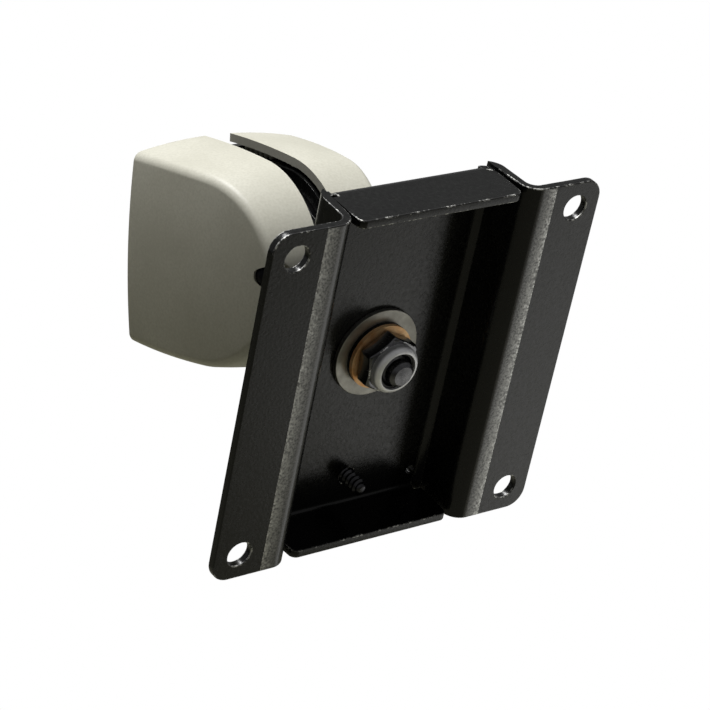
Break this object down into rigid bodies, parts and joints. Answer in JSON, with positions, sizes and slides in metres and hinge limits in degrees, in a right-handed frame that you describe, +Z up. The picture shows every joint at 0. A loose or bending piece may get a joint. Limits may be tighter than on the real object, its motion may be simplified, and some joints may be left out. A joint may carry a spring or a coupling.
{
  "type": "pivot monitor wall mount",
  "caption": "Small wall mount for a monitor: a folded square plate with corner screw holes turns on a pivot and tilts on an arm that swings in the slot of a rounded two-half cover.",
  "frame": {"origin": "centre of the wall screw holes, on the wall face of the base", "axes": "+X to the right seen from the room, -Y out from the wall towards the monitor, +Z up"},
  "size_m": [0.0916, 0.0894, 0.0909],
  "materials": {
    "zinc_steel": "zinc plated, brushed grey",
    "dark_zinc_steel": "dark zinc plated",
    "black_powder_coat": "fine textured charcoal black powder coat on steel",
    "black_oxide_steel": "black oxide",
    "black_nylon": "matt",
    "spring_bronze": "copper brown spring temper",
    "grey_plastic": "satin light warm grey moulding"
  },
  "bodies": {
    "wall": {"wall_bracket": "black_powder_coat", "left_cover": "grey_plastic", "right_cover": "grey_plastic", "cover_screws": "black_oxide_steel", "tilt_bolt": "dark_zinc_steel", "tilt_flat_washers": "zinc_steel", "tilt_friction_washers": "black_nylon", "tilt_disc_springs": "spring_bronze", "tilt_lock_nut": "zinc_steel", "tilt_nut_insert": "black_nylon"},
    "arm": {"tilt_arm": "black_powder_coat", "arm_bush": "black_nylon", "pivot_bolt": "dark_zinc_steel", "pivot_flat_washer": "zinc_steel", "pivot_disc_springs": "spring_bronze", "pivot_lock_nut": "zinc_steel", "pivot_nut_insert": "black_nylon"},
    "plate": {"monitor_plate": "black_powder_coat", "lock_screw": "black_oxide_steel", "pivot_shoulder_washer": "black_nylon"}
  },
  "joints": [
    {"name": "tilt", "type": "hinge", "parent": "wall", "child": "arm", "pos_m": [0, -0.024, 0], "axis": [1, 0, 0], "range_deg": [-71.35, 38.65]},
    {"name": "plate_rotation", "type": "hinge", "parent": "arm", "child": "plate", "pos_m": [0, -0.07658, -0.01543], "axis": [0, -0.9596, -0.2815], "continuous": true}
  ]
}
